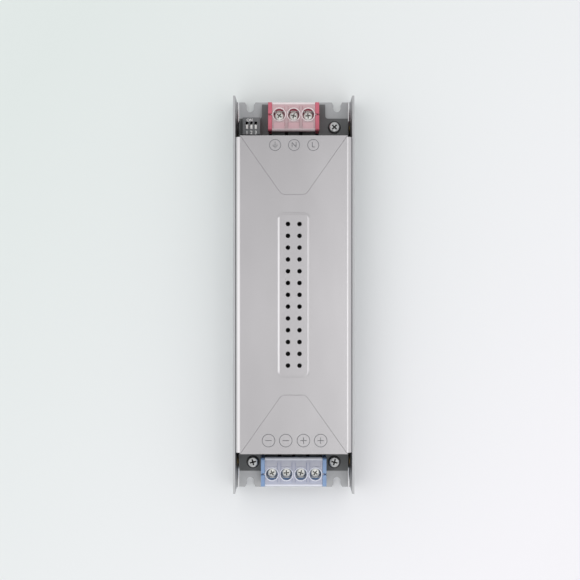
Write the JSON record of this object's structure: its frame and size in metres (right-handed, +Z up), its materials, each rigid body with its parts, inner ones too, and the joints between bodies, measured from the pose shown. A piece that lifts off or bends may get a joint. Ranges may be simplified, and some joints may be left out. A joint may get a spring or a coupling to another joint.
{
  "type": "mesh case switching power supply",
  "caption": "Slim mains power supply: folded metal channel with a perforated embossed cover, barrier terminals with hinged clear lids at both ends and a selector switch.",
  "frame": {"origin": "centre of the chassis underside, which is the mounting face", "axes": "+Z up away from the mounting face, +Y along the length towards the input terminal, +X across the width"},
  "size_m": [0.0684, 0.225, 0.032],
  "materials": {
    "chassis": "satin",
    "cover": "satin",
    "steel_screws": "nickel plated",
    "terminal_screws": "nickel plated",
    "clamp_washers": "zinc plated",
    "tinned_contacts": "tinned",
    "insulating_sheet": "matte",
    "pcb": "satin",
    "pcb_standoffs": "bright",
    "input_terminal_body": "moulded",
    "output_terminal_body": "moulded",
    "input_terminal_lid": "clear moulded",
    "output_terminal_lid": "clear moulded",
    "dip_switch_body": "moulded",
    "lever": "moulded",
    "fuse": "ceramic",
    "thermistor": "dipped",
    "varistor": "dipped",
    "film_capacitor": "moulded",
    "ferrite": "sintered",
    "enamelled_wire": "enamelled",
    "moulded_package": "moulded",
    "bulk_sleeve": "shrink sleeve",
    "output_sleeve": "shrink sleeve",
    "thermal_pads": "matte",
    "clamp_bars": "plated",
    "transformer_bobbin": "moulded",
    "transformer_winding": "taped",
    "output_choke_core": "painted"
  },
  "bodies": {
    "case": {"chassis": "chassis", "cover": "cover", "cover_screws": "steel_screws", "insulating_sheet": "insulating_sheet", "pcb": "pcb", "pcb_standoffs": "pcb_standoffs", "pcb_screws": "steel_screws", "input_terminal_body": "input_terminal_body", "output_terminal_body": "output_terminal_body", "input_terminal_contacts": "tinned_contacts", "output_terminal_contacts": "tinned_contacts", "dip_switch_body": "dip_switch_body", "fuse": "fuse", "thermistor": "thermistor", "varistor": "varistor", "x_capacitor_1": "film_capacitor", "x_capacitor_2": "film_capacitor", "line_choke_core": "ferrite", "line_choke_windings": "enamelled_wire", "bridge_rectifier": "moulded_package", "bulk_capacitor_1": "bulk_sleeve", "bulk_capacitor_2": "bulk_sleeve", "mosfet_1": "moulded_package", "mosfet_2": "moulded_package", "output_rectifier_1": "moulded_package", "output_rectifier_2": "moulded_package", "thermal_pads": "thermal_pads", "primary_clamp_bar": "clamp_bars", "secondary_clamp_bar": "clamp_bars", "clamp_screws": "steel_screws", "transformer_core": "ferrite", "transformer_bobbin": "transformer_bobbin", "transformer_winding": "transformer_winding", "output_choke_core": "output_choke_core", "output_choke_winding": "enamelled_wire", "output_capacitor_1": "output_sleeve", "output_capacitor_2": "output_sleeve", "output_capacitor_3": "output_sleeve", "driver_transformer": "ferrite", "control_chip": "moulded_package"},
    "input_lid": {"input_terminal_lid": "input_terminal_lid"},
    "output_lid": {"output_terminal_lid": "output_terminal_lid"},
    "input_clamp_1_body": {"input_clamp_1": "clamp_washers"},
    "input_clamp_2_body": {"input_clamp_2": "clamp_washers"},
    "input_clamp_3_body": {"input_clamp_3": "clamp_washers"},
    "input_screw_1_body": {"input_screw_1": "terminal_screws"},
    "input_screw_2_body": {"input_screw_2": "terminal_screws"},
    "input_screw_3_body": {"input_screw_3": "terminal_screws"},
    "output_clamp_1_body": {"output_clamp_1": "clamp_washers"},
    "output_clamp_2_body": {"output_clamp_2": "clamp_washers"},
    "output_clamp_3_body": {"output_clamp_3": "clamp_washers"},
    "output_clamp_4_body": {"output_clamp_4": "clamp_washers"},
    "output_screw_1_body": {"output_screw_1": "terminal_screws"},
    "output_screw_2_body": {"output_screw_2": "terminal_screws"},
    "output_screw_3_body": {"output_screw_3": "terminal_screws"},
    "output_screw_4_body": {"output_screw_4": "terminal_screws"},
    "dip_lever_1_body": {"dip_lever_1": "lever"},
    "dip_lever_2_body": {"dip_lever_2": "lever"},
    "dip_lever_3_body": {"dip_lever_3": "lever"}
  },
  "joints": [
    {"name": "input_lid_hinge", "type": "hinge", "parent": "case", "child": "input_lid", "pos_m": [0, 0.0947, 0.0205], "axis": [1, 0, 0], "range_deg": [0, 100]},
    {"name": "output_lid_hinge", "type": "hinge", "parent": "case", "child": "output_lid", "pos_m": [0, -0.0943, 0.0205], "axis": [-1, 0, 0], "range_deg": [0, 100]},
    {"name": "input_clamp_1_lift", "type": "slide", "parent": "case", "child": "input_clamp_1_body", "axis": [0, 0, 1], "range_m": [0, 0.0025]},
    {"name": "input_screw_1_turn", "type": "hinge", "parent": "input_clamp_1_body", "child": "input_screw_1_body", "pos_m": [-0.00825, 0.1028, 0.0134], "axis": [0, 0, 1], "range_deg": [0, 1800]},
    {"name": "input_clamp_2_lift", "type": "slide", "parent": "case", "child": "input_clamp_2_body", "axis": [0, 0, 1], "range_m": [0, 0.0025]},
    {"name": "input_screw_2_turn", "type": "hinge", "parent": "input_clamp_2_body", "child": "input_screw_2_body", "pos_m": [0, 0.1028, 0.0134], "axis": [0, 0, 1], "range_deg": [0, 1800]},
    {"name": "input_clamp_3_lift", "type": "slide", "parent": "case", "child": "input_clamp_3_body", "axis": [0, 0, 1], "range_m": [0, 0.0025]},
    {"name": "input_screw_3_turn", "type": "hinge", "parent": "input_clamp_3_body", "child": "input_screw_3_body", "pos_m": [0.00825, 0.1028, 0.0134], "axis": [0, 0, 1], "range_deg": [0, 1800]},
    {"name": "output_clamp_1_lift", "type": "slide", "parent": "case", "child": "output_clamp_1_body", "axis": [0, 0, 1], "range_m": [0, 0.0025]},
    {"name": "output_screw_1_turn", "type": "hinge", "parent": "output_clamp_1_body", "child": "output_screw_1_body", "pos_m": [0.01238, -0.1024, 0.0134], "axis": [0, 0, 1], "range_deg": [0, 1800]},
    {"name": "output_clamp_2_lift", "type": "slide", "parent": "case", "child": "output_clamp_2_body", "axis": [0, 0, 1], "range_m": [0, 0.0025]},
    {"name": "output_screw_2_turn", "type": "hinge", "parent": "output_clamp_2_body", "child": "output_screw_2_body", "pos_m": [0.00413, -0.1024, 0.0134], "axis": [0, 0, 1], "range_deg": [0, 1800]},
    {"name": "output_clamp_3_lift", "type": "slide", "parent": "case", "child": "output_clamp_3_body", "axis": [0, 0, 1], "range_m": [0, 0.0025]},
    {"name": "output_screw_3_turn", "type": "hinge", "parent": "output_clamp_3_body", "child": "output_screw_3_body", "pos_m": [-0.00413, -0.1024, 0.0134], "axis": [0, 0, 1], "range_deg": [0, 1800]},
    {"name": "output_clamp_4_lift", "type": "slide", "parent": "case", "child": "output_clamp_4_body", "axis": [0, 0, 1], "range_m": [0, 0.0025]},
    {"name": "output_screw_4_turn", "type": "hinge", "parent": "output_clamp_4_body", "child": "output_screw_4_body", "pos_m": [-0.01238, -0.1024, 0.0134], "axis": [0, 0, 1], "range_deg": [0, 1800]},
    {"name": "dip_lever_1_slide", "type": "slide", "parent": "case", "child": "dip_lever_1_body", "axis": [0, 1, 0], "range_m": [0, 0.0017]},
    {"name": "dip_lever_2_slide", "type": "slide", "parent": "case", "child": "dip_lever_2_body", "axis": [0, 1, 0], "range_m": [0, 0.0017]},
    {"name": "dip_lever_3_slide", "type": "slide", "parent": "case", "child": "dip_lever_3_body", "axis": [0, 1, 0], "range_m": [0, 0.0017]}
  ],
  "couplings": [
    {"joint": "input_screw_1_turn", "follows": "input_clamp_1_lift", "rad_per_m": 12566},
    {"joint": "input_screw_2_turn", "follows": "input_clamp_2_lift", "rad_per_m": 12566},
    {"joint": "input_screw_3_turn", "follows": "input_clamp_3_lift", "rad_per_m": 12566},
    {"joint": "output_screw_1_turn", "follows": "output_clamp_1_lift", "rad_per_m": 12566},
    {"joint": "output_screw_2_turn", "follows": "output_clamp_2_lift", "rad_per_m": 12566},
    {"joint": "output_screw_3_turn", "follows": "output_clamp_3_lift", "rad_per_m": 12566},
    {"joint": "output_screw_4_turn", "follows": "output_clamp_4_lift", "rad_per_m": 12566}
  ]
}
